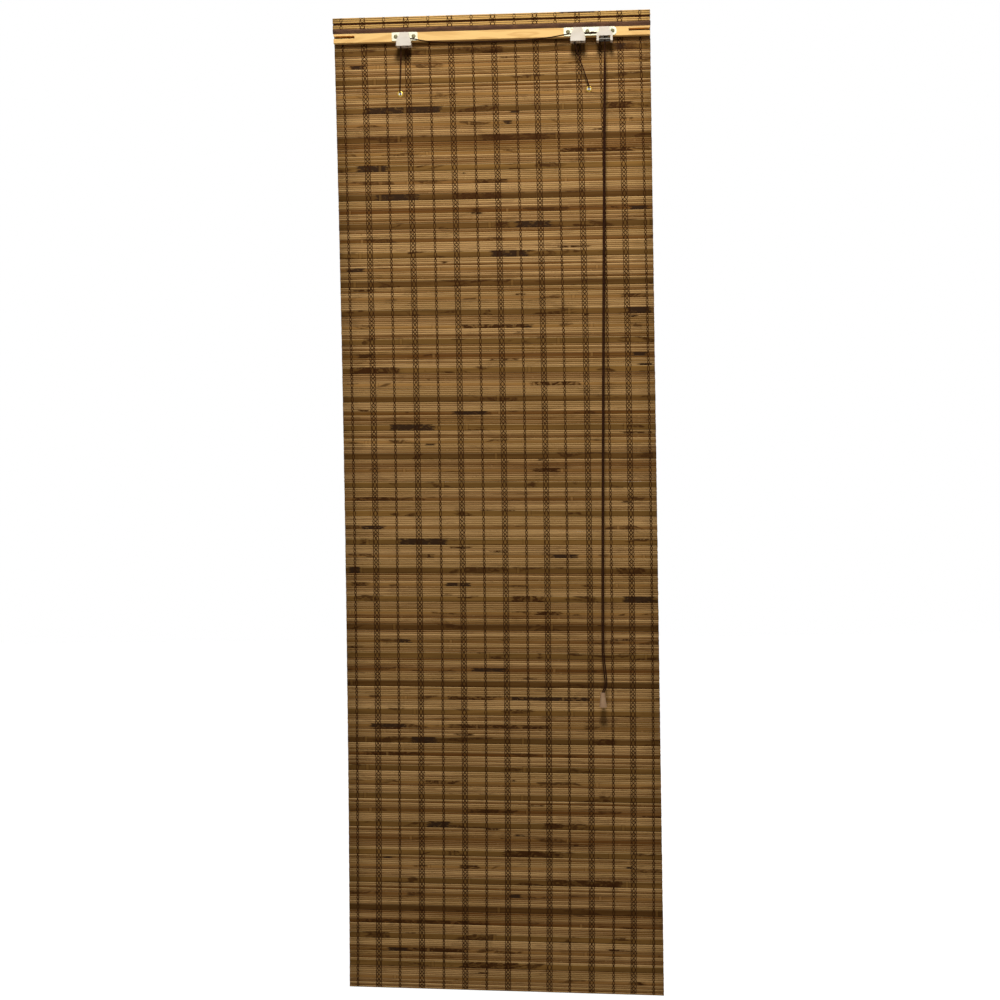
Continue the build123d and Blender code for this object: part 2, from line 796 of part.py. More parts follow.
hole_slope = 0.7
eyelet_middle = (mat_front + mat_back) / 2
rear_turn_z = eyelet_z - hole_slope * (rear_cord_y - eyelet_middle)
front_turn_y = mat_front - 5.5
front_turn_z = eyelet_z + hole_slope * (eyelet_middle - front_turn_y)
last_ring_z = ring_heights()[-1]
stop_knot_z = last_ring_z - ring_wire_d / 2 - 0.9
eyelet_bend = 4.0


def rear_stretch(x):
    """From the stop knot below the last ring up to the front of the eyelet."""
    return [(x, rear_cord_y, stop_knot_z), (x, rear_cord_y, rear_turn_z),
            (x, front_turn_y, front_turn_z)]


def left_lift_route():
    wrap_x = left_guide_x - guide_wrap_r
    y, top = rear_groove_y, cord_top_z
    run = right_guide_x - left_guide_x
    slack = [(left_guide_x + share * run, y + back, top - drop) for share, back, drop in slack_run]
    return rear_stretch(left_eyelet_x) + [
        (wrap_x, y, hood_bottom_z - 16.0), (wrap_x, y, top),
        (left_guide_x + slack_start, y, top)] + slack + [
        (right_plate_left_x + slack_end, y, top), (lock_x, y, top), (lock_x, y, lock_bottom_z)]


def right_lift_route():
    wrap_x = right_guide_x - guide_wrap_r
    y, top = front_groove_y, cord_top_z
    return rear_stretch(right_eyelet_x) + [
        (wrap_x, y, hood_bottom_z - 3.0), (wrap_x, y, top),
        (lock_x, y, top), (lock_x, y, lock_bottom_z)]


pull_y = rail_front - 10.5
knot_top_z = tassel_top_z - 7.0


def left_pull_route():
    x = lock_x
    return [(x, rear_groove_y, lock_bottom_z), (x, rear_groove_y, lock_bottom_z - 16.0),
            (x - 2.1, rear_groove_y - 1.0, -72.0), (x - 4.4, pull_y + 0.6, -124.0),
            (tassel_x - 1.5, pull_y, -1150.0), (tassel_x - 0.8, pull_y, -1206.0),
            (tassel_x - tassel_strand_x, pull_y, -1236.0),
            (tassel_x - tassel_strand_x, pull_y, knot_top_z)]


def right_pull_route():
    x = lock_x
    return [(x, front_groove_y, lock_bottom_z), (x, front_groove_y, lock_bottom_z - 16.0),
            (x + 1.2, front_groove_y + 0.8, -72.0), (x + 0.3, pull_y - 0.6, -124.0),
            (tassel_x + 1.6, pull_y, -1150.0), (tassel_x + 4.6, pull_y, -1196.0),
            (tassel_x + 7.6, pull_y, -1224.0), (tassel_x + 5.6, pull_y, -1236.5),
            (tassel_x + tassel_strand_x, pull_y, -1245.0),
            (tassel_x + tassel_strand_x, pull_y, knot_top_z)]


def stop_knot(x):
    body = Pos(x, rear_cord_y, stop_knot_z - stop_knot_height / 2)
    knot = body * Cylinder(stop_knot_d / 2, stop_knot_height)
    return fillet(knot.edges(), knot_rounding)


def pull_tassel():
    """Small hollow bell; the knot of the two cords sits under its roof."""
    top, bottom = tassel_top_d / 2, tassel_bottom_d / 2
    hole, wall, high = tassel_hole_d / 2, tassel_wall, tassel_height
    points = [(hole, 0), (top - tassel_chamfer, 0), (top, -tassel_chamfer),
              (top + 0.4, -high * 0.3), (bottom - tassel_flare, -high * 0.8), (bottom, -high),
              (bottom - wall, -high), (bottom - tassel_flare - wall, -high * 0.8),
              (top + 0.4 - wall + tassel_flare, -high * 0.3),
              (knot_d / 2 + 0.1, -(tassel_top_z - knot_top_z) + 0.3),
              (hole, -(tassel_top_z - knot_top_z) + 0.3)]
    face = make_face(Polyline(*points, close=True))
    bell = revolve(face, Axis.Y)
    return Pos(tassel_x, pull_y, tassel_top_z) * Rot(90, 0, 0) * bell


def tassel_knot():
    knot = Cylinder(knot_d / 2, knot_height)
    knot = fillet(knot.edges(), knot_rounding)
    return Pos(tassel_x, pull_y, knot_top_z - knot_height / 2) * knot


guide_axle_z = cord_top_z - guide_wrap_r
lock_pulley_x = lock_x - lock_wrap_r
lock_pulley_z = cord_top_z - lock_wrap_r

nodes = {
    "shade_mat": shade_mat(),
    "front_yarn_chains": chain_strips(rail_back, mat_front),
    "rear_yarn_chains": chain_strips(mat_back, mat_back + yarn_thickness),
    "head_mat_band": head_mat_band(),
    "head_band_yarns": head_band_yarns(),
    "binding_tape": binding_tape(),
    "headrail": rail_stretch(-rail_length / 2 + slotted_end_length,
                             rail_length / 2 - slotted_end_length),
    "left_rail_end": rail_stretch(-rail_length / 2, -rail_length / 2 + slotted_end_length),
    "right_rail_end": rail_stretch(rail_length / 2 - slotted_end_length, rail_length / 2),
    "mat_staples": mat_staples(),
    "left_guide_plate": plate(left_plate_left_x, left_plate_right_x, plate_corner,
                              [(left_guide_x, guide_tongue_drop, (left_guide_x, guide_axle_z),
                                guide_axle_d)], left_screw_x),
    "right_plate": plate(right_plate_left_x, right_plate_right_x, right_plate_end_radius,
                         [(right_guide_x, guide_tongue_drop, (right_guide_x, guide_axle_z),
                           guide_axle_d),
                          (lock_x, lock_tongue_drop, (lock_pulley_x, lock_pulley_z),
                           lock_axle_d)], right_screw_x, [plate_window_x]),
    "left_plate_screws": screws(left_screw_x),
    "right_plate_screws": screws(right_screw_x),
    "left_guide_hood": guide_hood(left_guide_x),
    "right_guide_hood": guide_hood(right_guide_x),
    "left_guide_pulley": pulley(left_guide_x, guide_axle_z, guide_wrap_r,
                                guide_axle_d + 2 * running_gap),
    "right_guide_pulley": pulley(right_guide_x, guide_axle_z, guide_wrap_r,
                                 guide_axle_d + 2 * running_gap),
    "left_guide_axle": pulley_axle(left_guide_x, guide_axle_z, guide_axle_d, shoulder_d),
    "right_guide_axle": pulley_axle(right_guide_x, guide_axle_z, guide_axle_d, shoulder_d),
    "lock_housing": lock_housing(),
    "lock_pulley": pulley(lock_pulley_x, lock_pulley_z, lock_wrap_r, lock_axle_d + 2 * running_gap),
    "lock_pulley_axle": pulley_axle(lock_pulley_x, lock_pulley_z, lock_axle_d, shoulder_d - 1.6),
    "lock_front_roller": roller(front_roller_y, front_roller_d, 0),
    "lock_front_pin": roller_pin(front_roller_y, pin_end_recess + 0.2),
    "lock_grip_roller": roller(grip_pin_y, grip_sleeve_d, grip_ridges),
    "lock_grip_pin": roller_pin(grip_pin_y, pin_end_recess),
    "left_eyelet": eyelet(left_eyelet_x),
    "right_eyelet": eyelet(right_eyelet_x),
    "left_eyelet_washer": eyelet_washer(left_eyelet_x),
    "right_eyelet_washer": eyelet_washer(right_eyelet_x),
    "left_lift_rings": lift_rings(left_eyelet_x),
    "right_lift_rings": lift_rings(right_eyelet_x),
    "left_ring_ties": ring_ties(left_eyelet_x),
    "right_ring_ties": ring_ties(right_eyelet_x),
    "bottom_batten": bottom_batten(),
    "batten_straps": batten_straps(),
    "left_lift_cord": cord_tube("left_lift_cord", left_lift_route(),
                                {1: eyelet_bend, 2: eyelet_bend, 4: guide_wrap_r, 13: lock_wrap_r}),
    "right_lift_cord": cord_tube("right_lift_cord", right_lift_route(),
                                 {1: eyelet_bend, 2: eyelet_bend, 4: guide_wrap_r,
                                  5: lock_wrap_r}),
    "left_stop_knot": stop_knot(left_eyelet_x),
    "right_stop_knot": stop_knot(right_eyelet_x),
    "left_pull_cord": cord_tube("left_pull_cord", left_pull_route()),
    "right_pull_cord": cord_tube("right_pull_cord", right_pull_route()),
    "pull_tassel": pull_tassel(),
    "tassel_knot": tassel_knot(),
}

os.makedirs("parts", exist_ok=True)
for node, shape in nodes.items():
    export_step(shape, f"parts/{node}.step")
print("nodes", len(nodes), "mat bottom", round(mat_bottom_z, 2), "period", round(period, 2))
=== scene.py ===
# %% [markdown]
# # Dressing a bamboo blind
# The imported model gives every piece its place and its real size. This notebook adds what a person
# sees from a step away and from close by: about four hundred separate reeds and slats, the dark yarn
# that ties them, the folded strip of matting at the head, the two pull cords, and a finish for
# every part. Each step is a cell that can be read and run by itself.

import math

import bpy
import numpy as np
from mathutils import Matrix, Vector


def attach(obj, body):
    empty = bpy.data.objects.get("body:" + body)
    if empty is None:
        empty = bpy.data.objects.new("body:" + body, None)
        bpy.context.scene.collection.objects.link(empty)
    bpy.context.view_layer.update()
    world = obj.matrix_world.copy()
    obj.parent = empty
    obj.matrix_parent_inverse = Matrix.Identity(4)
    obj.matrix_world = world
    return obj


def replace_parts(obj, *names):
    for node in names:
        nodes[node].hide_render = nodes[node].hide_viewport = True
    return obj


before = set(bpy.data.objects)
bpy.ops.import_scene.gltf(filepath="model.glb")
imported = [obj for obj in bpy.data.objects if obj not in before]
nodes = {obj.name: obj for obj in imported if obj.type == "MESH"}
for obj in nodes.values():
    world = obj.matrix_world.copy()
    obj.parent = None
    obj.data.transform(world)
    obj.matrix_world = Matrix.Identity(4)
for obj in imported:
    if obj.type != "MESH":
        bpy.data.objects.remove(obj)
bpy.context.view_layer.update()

# %% [markdown]
# ## The view
# The photograph was taken from about three and a half metres away, a little right of the middle and
# turned slightly to the left. A long lens from that place gives the same slant to the mat's edges.

# %% Camera
def linked(name, data):
    """A new object in the scene that shows this data."""
    thing = bpy.data.objects.new(name, data)
    bpy.context.scene.collection.objects.link(thing)
    return thing


camera = linked("view_of_the_blind", bpy.data.cameras.new("view_of_the_blind"))
camera.location = (0.1819, -3.4066, -0.8378)
camera.rotation_euler = [math.radians(angle) for angle in (89.279, 0.887, 2.995)]
camera.data.lens = 64.8
camera.data.sensor_width = 36.0
camera.data.clip_end = 50.0
bpy.context.scene.camera = camera
looks_along = camera.rotation_euler.to_matrix() @ Vector((0, 0, -1))
print("camera looks along", tuple(round(v, 3) for v in looks_along))

# %% [markdown]
# ## Shader sums as plain Python
# A finish is a small sum of noises and masks. Building it from nodes by hand hides that sum, so this
# class wraps one output of a node and lets `1 - mask` or `streaks * 0.4` add the Math node itself.

# %% A socket that takes part in sums
class Value:
    """One output of a node, with the sums that are used on it."""

    def __init__(self, graph, socket):
        self.graph = graph
        self.socket = socket

    def sum(self, operation, *others):
        return self.graph.node("Math", {"operation": operation}, dict(enumerate(others)))

    def __add__(self, other):
        return self.sum("ADD", self, other)

    def __radd__(self, other):
        return self.sum("ADD", other, self)

    def __sub__(self, other):
        return self.sum("SUBTRACT", self, other)

    def __rsub__(self, other):
        return self.sum("SUBTRACT", other, self)

    def __mul__(self, other):
        return self.sum("MULTIPLY", self, other)

    def __rmul__(self, other):
        return self.sum("MULTIPLY", other, self)

    def __abs__(self):
        return self.sum("ABSOLUTE", self)

    def step(self, low, high):
        """0 below low and 1 above high, with a soft change between them."""
        return self.graph.node(
            "MapRange",
            {"interpolation_type": "SMOOTHSTEP"},
            {"Value": self, "From Min": low, "From Max": high},
        )


print("sums a socket can take part in:", "+ - * abs step")

# %% [markdown]
# One method adds every other node. The settings come first, because some of them change which
# sockets the node has; the values or links of its sockets come after. The world and every material
# have such a tree of nodes, so both use the same class.

# %% A tree of nodes
def colour(red, green, blue):
    """A colour as it is picked from a picture, 0 to 255, as Blender's linear numbers."""
    parts = [value / 255 for value in (red, green, blue)]
    return tuple(p / 12.92 if p <= 0.04045 else ((p + 0.055) / 1.055) ** 2.4 for p in parts) + (1.0,)


class Graph:
    """The nodes of a material or of the world, and the ways in which they are added."""

    def __init__(self, owner):
        owner.use_nodes = True
        self.tree = owner.node_tree
        self.tree.nodes.clear()

    def node(self, kind, settings=None, values=None, output=0):
        """Add a node, set it, feed its sockets, and give back one of its outputs, if it has any."""
        made = self.tree.nodes.new("ShaderNode" + kind)
        for name, value in (settings or {}).items():
            setattr(made, name, value)
        for name, value in (values or {}).items():
            self.feed(made.inputs[name], value)
        return Value(self, made.outputs[output]) if made.outputs else None

    def feed(self, socket, value):
        """Link a Value to a socket, or set a plain number or colour on it."""
        if isinstance(value, Value):
            self.tree.links.new(value.socket, socket)
        else:
            socket.default_value = value

    def blend(self, first, second, share):
        """first where share is 0, second where it is 1, as a colour."""
        return self.node("Mix", {"data_type": "RGBA"}, {0: share, 6: first, 7: second}, output=2)

    def seen(self):
        """1 where the camera, a reflection or a clear piece looks straight at it, 0 for other light."""
        found = self.node("LightPath", output="Is Camera Ray")
        for other in ("Is Glossy Ray", "Is Transmission Ray"):
            found = found.sum("MAXIMUM", found, self.node("LightPath", output=other))
        return found


print("yarn brown in linear numbers", tuple(round(part, 4) for part in colour(80, 43, 12)))

# %% [markdown]
# A finish is a tree with one Principled shader at its end. Its noises are measured in grains to the
# metre on the piece itself, so a pattern keeps its real size on a small screw and on the long mat.

# %% A finish
class Finish(Graph):
    """A material with one Principled shader, and the patterns that feed it."""

    def __init__(self, name):
        self.material = bpy.data.materials.new(name)
        super().__init__(self.material)
        surface = self.node("BsdfPrincipled")
        self.shader = surface.socket.node
        self.node("OutputMaterial", {}, {"Surface": surface})

    def place(self, across=(1.0, 1.0, 1.0)):
        """The point on the piece in metres, stretched so that a noise gets long in one direction."""
        point = self.node("TexCoord", output="Object")
        return self.node("Mapping", {"vector_type": "POINT"}, {"Vector": point, "Scale": across})

    def noise(self, across, detail=2.0, rough=0.5, twist=0.0):
        """Noise with across grains to the metre along X, Y and Z."""
        return self.node(
            "TexNoise",
            {},
            {"Vector": self.place(across), "Scale": 1.0, "Detail": detail, "Roughness": rough,
             "Distortion": twist},
        )

    def own(self, name):
        """A number that each reed, slat or thread of the mesh carries for itself."""
        return self.node("Attribute", {"attribute_name": name}, output="Fac")

    def axis(self, letter):
        """How far the point is along X, Y or Z, in metres."""
        point = self.node("TexCoord", output="Object")
        return self.node("SeparateXYZ", {}, {"Vector": point}, output=letter)

    def sine(self, angle):
        return self.node("Math", {"operation": "SINE"}, {0: angle})

    def paint(self, base, roughness, metallic=0.0, height=None, depth=0.0002, **constants):
        """Feed the shader: what varies is linked, and constants go on the shader's own sockets."""
        self.feed(self.shader.inputs["Base Color"], base)
        self.feed(self.shader.inputs["Roughness"], roughness)
        self.feed(self.shader.inputs["Metallic"], metallic)
        for name, value in constants.items():
            self.shader.inputs[name.replace("_", " ")].default_value = value
        if height is not None:
            bump = self.node("Bump", {}, {"Height": height, "Distance": depth, "Strength": 1.0})
            self.feed(self.shader.inputs["Normal"], bump)
        return self.material


print("materials before the first finish", len(bpy.data.materials))

# %% [markdown]
# ## Bamboo
# Bamboo split into reeds and slats has long fibres, a joint every thirty centimetres or so that
# shows as a pale patch between two dark lines, and on this mat some slats carry a scorched stretch,
# almost black with ragged ends, or a longer brown stain. A picture of bamboo would repeat from weft
# to weft. Here every weft carries a few numbers of its own instead: its tone, where its joints fall,
# and where its scorch and its stain lie. The shader reads those, so neighbours never look alike. The
# edge number is 1 along the top of a weft, 0 on its crest and -1 along its underside. Along the top
# the finish paints a highlight, as if light fell from above, and along the underside painted shade,
# which also darkens the creases between wefts.

# %% Bamboo finish
# A painted highlight, for the top edges of the wefts:
painted_top_highlight = colour(232, 192, 130)
stain_brown = colour(66, 37, 11)
scorch_brown = colour(50, 32, 18)
joint_brown = colour(66, 40, 14)
# Painted shade, for the undersides of the wefts and the creases between them:
painted_underside_shade = colour(40, 19, 2)
half_joint_spacing = 0.15


def bamboo(name, pale, deep, olive, stained, jointed, rim=0.3):
    """stained and jointed are how strongly the marks show; rim is where the edge of a weft starts, and
    with it the painted highlight along the top and the painted shade below.
    """
    f = Finish(name)
    tone = f.own("tone")
    edge = f.own("edge")
    x = f.axis("X")
    # Split wood: the weft's own tone, long streaks, olive patches and fine fibres.
    fibres = f.noise((12.0, 1300.0, 1500.0), detail=3.0, rough=0.6)
    streaks = f.noise((4.0, 90.0, 180.0), detail=2.0, twist=0.3)
    body = f.blend(deep, pale, (tone * 0.7 + streaks * 0.9 - 0.3).step(0.0, 1.0))
    patches = f.noise((3.0, 60.0, 90.0)) + tone * 0.15
    body = f.blend(body, olive, patches.step(0.5, 0.7) * 0.5)
    body = f.blend(body, deep, fibres.step(0.48, 0.72) * 0.5)
    # Painted highlight along the top edge of each weft, as if light fell from above.
    body = f.blend(body, painted_top_highlight, edge.step(rim, 0.95) * (0.2 + tone * 0.5))
    # Stains and scorches: ragged ends, and slanting strands that stay paler.
    slant = f.noise((70.0, 160.0, 140.0), detail=3.0, twist=1.5)
    ragged = f.noise((120.0, 500.0, 500.0), detail=3.0) * 0.03 - 0.015
    drifts = f.noise((13.0, 30.0, 60.0), detail=2.0, twist=0.6) + ragged
    inside_stain = (f.own("stain_half") - abs(x - f.own("stain_at")) + ragged).step(0.0, 0.012)
    stain = inside_stain * 0.85 + drifts.step(0.57, 0.63) * stained
    body = f.blend(body, stain_brown, stain * (1.15 - slant.step(0.42, 0.66) * 0.75))
    inside_scorch = (f.own("scorch_half") - abs(x - f.own("scorch_at")) + ragged).step(0.0, 0.008)
    body = f.blend(body, scorch_brown, inside_scorch * (0.96 - slant.step(0.52, 0.68) * 0.45))
    # Joints: a pale patch between two dark rims, a few millimetres in all.
    wrap = {0: x - f.own("joint_at"), 1: half_joint_spacing, 2: -half_joint_spacing}
    along = abs(f.node("Math", {"operation": "WRAP"}, wrap)) + ragged * 0.03
    joint_rim = along.step(0.0020, 0.0028) * (1 - along.step(0.0034, 0.0046))
    body = f.blend(body, pale, (1 - along.step(0.0018, 0.0028)) * jointed)
    body = f.blend(body, joint_brown, joint_rim * jointed)
    # Painted shade along the underside of each weft, which also darkens the creases between wefts.
    body = f.blend(body, painted_underside_shade, (0 - edge).step(rim, 0.9) * 0.95)
    return f.paint(body, 0.62 + fibres * 0.2, height=fibres + streaks * 0.5 + joint_rim,
                   Specular_IOR_Level=0.05)


reed_finish = bamboo("split_reed", colour(208, 163, 104), colour(112, 70, 26), colour(136, 98, 43),
                     stained=0.2, jointed=0.1)
strip_finish = bamboo("golden_reed", colour(224, 176, 102), colour(160, 112, 52), colour(170, 130, 64),
                      stained=0.1, jointed=0.1)
medium_finish = bamboo("medium_slat", colour(178, 132, 74), colour(104, 64, 24), colour(120, 84, 36),
                       stained=0.7, jointed=0.3, rim=0.75)
slat_finish = bamboo("flat_slat", colour(146, 106, 52), colour(86, 55, 21), colour(92, 65, 28),
                     stained=0.75, jointed=0.3, rim=0.75)
print("nodes in the reed's finish", len(reed_finish.node_tree.nodes))

# %% [markdown]
# ## Yarn and cord
# The yarn is dark brown and matt, of two plies; the lift and pull cords are thicker and braided.
# Loose fibres could be grown as hair, but they are finer than this view shows. A coarse noise gives
# the plies and a fine one the fuzz, in the colour and in the bump alike.

# %% Yarn and cord finishes
def yarn(name, pale, deep, turns, depth):
    f = Finish(name)
    plies = f.noise((turns, turns, turns * 0.45), detail=1.0)
    fuzz = f.noise((2600.0, 2600.0, 2600.0), detail=2.0)
    body = f.blend(deep, pale, (plies * 0.7 + fuzz * 0.4).step(0.35, 0.8))
    return f.paint(body, 0.9, height=plies + fuzz * 0.4, depth=depth, Specular_IOR_Level=0.08)


yarn_finish = yarn("dark_yarn", colour(80, 43, 12), colour(38, 18, 4), 1500.0, 0.0003)
cord_finish = yarn("braided_cord", colour(66, 36, 18), colour(32, 16, 7), 900.0, 0.00035)
print("yarn and cord", yarn_finish.name, cord_finish.name)

# %% [markdown]
# ## Wood
# The rail and the batten are planed softwood: pale, with darker lines of growth that run their
# length. A sine of a slow noise draws such lines. Unlike even bands they wander, close up and open
# out again, as they do where a saw meets the rings of a tree at a slant.

# %% Wood
def wood(name, pale, deep, growth):
    f = Finish(name)
    drift = f.noise((3.5, 60.0, growth), detail=3.0, twist=0.6)
    lines = f.sine(drift * 42.0)
    pores = f.noise((60.0, 1600.0, 2200.0), detail=2.0)
    body = f.blend(pale, deep, lines.step(-0.2, 1.0) * 0.5 + pores.step(0.55, 0.8) * 0.25)
    return f.paint(body, 0.52 + pores * 0.2, height=lines * 0.3 + pores, depth=0.00012,
                   Specular_IOR_Level=0.4)


rail_finish = wood("planed_softwood", colour(240, 194, 116), colour(208, 154, 78), 26.0)
batten_finish = wood("batten_wood", colour(196, 156, 100), colour(150, 108, 58), 30.0)
print("wood", rail_finish.name, batten_finish.name)

# %% [markdown]
# ## Tape
# The binding is a plain woven tape a centimetre wide, with about a thousand threads to the metre.
# Modelled threads would take more triangles than all the reeds do, so two crossed sines give the
# weave: their product is high where one thread lies over the other.

# %% Tape
threads_along, threads_up = 6283.0, 7500.0
tape = Finish("woven_tape")
weave = tape.sine(tape.axis("X") * threads_along) * tape.sine(tape.axis("Z") * threads_up)
tape_wear = tape.noise((40.0, 120.0, 160.0), detail=3.0)
tape_body = tape.blend(colour(84, 52, 30), colour(118, 78, 48), tape_wear.step(0.3, 0.75))
tape_body = tape.blend(tape_body, colour(48, 30, 18), weave.step(0.1, 0.9) * 0.5)
tape_finish = tape.paint(tape_body, 0.88, height=weave, depth=0.00015)
print("threads to the metre", round(threads_along / (2 * math.pi)), round(threads_up / (2 * math.pi)))

# %% [markdown]
# ## Metal
# The plates are bright zinc with a faint spangle, the screws are duller, the rollers and pins are
# steel and the eyelets are brass. All are one recipe: a pattern of cells for the spangle, a smear
# where hands and air have dulled it, and fine scratches across the rail as bump.

# %% Zinc, steel and brass
def metal(name, bright, dull, roughness, grains):
    f = Finish(name)
    cells = f.node("TexVoronoi", {"feature": "F1"}, {"Vector": f.place(), "Scale": grains})
    smear = f.noise((90.0, 90.0, 90.0), detail=3.0)
    scratches = f.noise((900.0, 60.0, 60.0), detail=2.0)
    body = f.blend(bright, dull, cells.step(0.2, 0.9) * 0.35 + smear.step(0.5, 0.75) * 0.35)
    return f.paint(body, roughness + smear * 0.22, 0.85, height=scratches, depth=0.00003)


zinc_finish = metal("bright_zinc", colour(186, 184, 160), colour(140, 136, 112), 0.38, 420.0)
screw_finish = metal("dull_screw", colour(128, 120, 88), colour(88, 80, 52), 0.48, 700.0)
steel_finish = metal("steel_pin", colour(112, 108, 100), colour(78, 74, 66), 0.42, 700.0)
brass_finish = metal("aged_brass", colour(204, 170, 70), colour(146, 112, 40), 0.34, 600.0)
print("metals", [m.name for m in (zinc_finish, screw_finish, steel_finish, brass_finish)])

# %% [markdown]
# ## Plastic
# The hoods, the lock, the pulleys, the rings and the bell are moulded plastic that has yellowed in
# the sun. It doesn't age evenly, so a slow noise mixes the clean colour with the aged one and makes
# the aged places a little rougher.

# %% Plastics
def plastic(name, clean, aged, roughness, shine):
    f = Finish(name)
    ageing = f.noise((35.0, 35.0, 35.0), detail=3.0)
    grain = f.noise((1400.0, 1400.0, 1400.0), detail=1.0)
    body = f.blend(clean, aged, ageing.step(0.35, 0.75) * 0.7)
    return f.paint(body, roughness + ageing * 0.12, height=grain, depth=0.00004,
                   Specular_IOR_Level=shine)


white_finish = plastic("white_plastic", colour(218, 207, 190), colour(198, 185, 164), 0.4, 0.35)
pulley_finish = plastic("pulley_plastic", colour(226, 220, 206), colour(205, 194, 172), 0.4, 0.5)
ring_finish = plastic("ring_plastic", colour(226, 214, 190), colour(204, 188, 158), 0.32, 0.5)
bell_finish = plastic("bell_plastic", colour(176, 140, 104), colour(146, 110, 76), 0.36, 0.5)
print("materials so far", len(bpy.data.materials))

# %% [markdown]
# ## Wefts
# The mat is one long list of wefts from the top down: a wide slat, five reeds, a medium slat, five
# reeds, and so on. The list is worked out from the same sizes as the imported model, so that each
# weft lies where its ridge is.

# %% The list of wefts
MM = 0.001
half_width = 300 * MM
cell_heights = {"wide": 11.9 * MM, "reed": 3.55 * MM, "medium": 6.9 * MM}
one_repeat = ["wide"] + ["reed"] * 5 + ["medium"] + ["reed"] * 5
repeats = 34
repeat_height = sum(cell_heights[kind] for kind in one_repeat)
mat_middle_y = 7.6 * MM
mat_top = 31.85 * MM
wefts = []
mat_bottom = mat_top
for kind in one_repeat * repeats:
    wefts.append((kind, mat_bottom - cell_heights[kind] / 2))
    mat_bottom -= cell_heights[kind]
deepest_bow = 8.0 * MM
print("wefts", len(wefts), "mat bottom", round(mat_bottom, 5))


def down_the_mat(z):
    """-1 at the bottom of the mat, 0 half way and 1 at its top."""
    return (z - (mat_top + mat_bottom) / 2) / ((mat_top - mat_bottom) / 2)


def bow(z):
    """The yarn columns bow to one side: how far a column has moved at height z."""
    return -deepest_bow * down_the_mat(z) ** 2


# %% [markdown]
# A mat that is tied by hand never hangs quite square. On this one the wefts slope down to the right,
# more towards the bottom, and those half way down have sunk by a centimetre. One small function of a
# point's place says how far it sinks, and every weft and thread of the mat goes through it.

# %% How the mat has settled
settle_from = -50 * MM
deepest_sink = 9.2 * MM
deepest_below = 950 * MM
slope_for_each_metre = 0.017


def sunk(x, z):
    """The height at which a point of the mat at x and z really hangs."""
    below = np.minimum(z - settle_from, 0)
    sink = deepest_sink * (1 - (1 + below / deepest_below) ** 2)
    return z - sink + slope_for_each_metre * below * x


def settled(points):
    """The same points, each moved to the height at which it hangs."""
    points[..., 2] = sunk(points[..., 0], points[..., 2])
    return points


print("bottom corners", [round(float(sunk(x, mat_bottom)), 4) for x in (-half_width, half_width)])

# %% [markdown]
# ## Bars
# Every reed, slat and thread is a bar with a ring of points at each step along it. One helper turns
# a block of numbers, bar by ring by side, into a mesh: that is far quicker than a modifier for each
# of four hundred wefts, and gives each weft its own numbers for the shader.

# %% Mesh of many bars
def part_of_blind(name, data, finish):
    """A piece that moves with the blind itself, in one finish."""
    data.materials.append(finish)
    piece = linked(name, data)
    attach(piece, "blind")
    return piece


def bars(name, rings_of_points, finish, own=None, edge=None):
    """A mesh of closed bars from points[bar, ring, side, xyz]; edge is a number for each side."""
    count, rings, sides = rings_of_points.shape[:3]
    index = np.arange(count * rings * sides).reshape(count, rings, sides)
    near, far = index[:, :-1, :], index[:, 1:, :]
    quads = np.stack([near, np.roll(near, -1, 2), np.roll(far, -1, 2), far], -1).reshape(-1, 4)
    ends = np.concatenate([index[:, 0, ::-1], index[:, -1, :]])
    mesh = bpy.data.meshes.new(name)
    mesh.from_pydata(rings_of_points.reshape(-1, 3).tolist(), [], quads.tolist() + ends.tolist())
    mesh.polygons.foreach_set("use_smooth", [True] * len(quads) + [False] * len(ends))
    for number, values in (own or {}).items():
        layer = mesh.attributes.new(number, "FLOAT", "POINT")
        layer.data.foreach_set("value", np.repeat(values, rings * sides).astype(np.float32))
    if edge is not None:
        layer = mesh.attributes.new("edge", "FLOAT", "POINT")
        layer.data.foreach_set("value", np.tile(edge, count * rings).astype(np.float32))
    triangles = 2 * len(quads) + len(ends) * (sides - 2)
    print(name, "bars", count, "triangles", triangles)
    return part_of_blind(name, mesh, finish)


# %% [markdown]
# A reed is round and never quite even: its thickness, its height and its line all waver a little. A
# slat is flat with rounded edges, so its ring of points is squarer. Three sine waves of different
# lengths, with a random start for each weft, are smooth and cheap, and no two wefts share them.

# %% Reeds and slats along the mat
def waver(dice, count, x, length):
    """A slow random wave along x for each of count bars, between about -1 and 1."""
    total = np.zeros((count, len(x[0])))
    for share, part in ((0.55, 1.0), (0.3, 0.47), (0.15, 0.21)):
        phase = dice.uniform(0, 2 * math.pi, (count, 1))
        stretch = dice.uniform(0.8, 1.25, (count, 1))
        total += share * np.sin(2 * math.pi * x * stretch / (length * part) + phase)
    return total


def section(sides, squareness):
    """The ring of points round a weft, 1 across each way: round at 1, nearly square at 0.3."""
    turn = 2 * math.pi * (np.arange(sides) + 0.5) / sides
    return [np.sign(part) * np.abs(part) ** squareness for part in (np.cos(turn), np.sin(turn))]


most_height_waver = 0.08 * MM


def weft_rings(dice, left, right, y, z, half_y, half_z, rings, sides, squareness, wobble):
    """Rings of points for wefts that run along X, one row of numbers for each weft."""
    count = len(z)
    x = left[:, None] + (right - left)[:, None] * np.linspace(0, 1, rings)[None, :]
    round_y, round_z = section(sides, squareness)
    height_waver = np.minimum(0.045 * half_z, most_height_waver)[:, None]
    thick = half_y[:, None] * (1 + 0.10 * waver(dice, count, x, 0.21))
    high = half_z[:, None] + height_waver * waver(dice, count, x, 0.17)
    line_y = y[:, None] + wobble * 0.8 * waver(dice, count, x, 0.30)
    line_z = z[:, None] + wobble * waver(dice, count, x, 0.42)
    points = np.zeros((count, rings, sides, 3))
    points[..., 0] = x[:, :, None]
    points[..., 1] = line_y[:, :, None] + thick[:, :, None] * round_y
    points[..., 2] = line_z[:, :, None] + high[:, :, None] * round_z
    return points


print("points round a slat", [tuple(np.round(pair, 2)) for pair in zip(*section(12, 0.35))][:3])
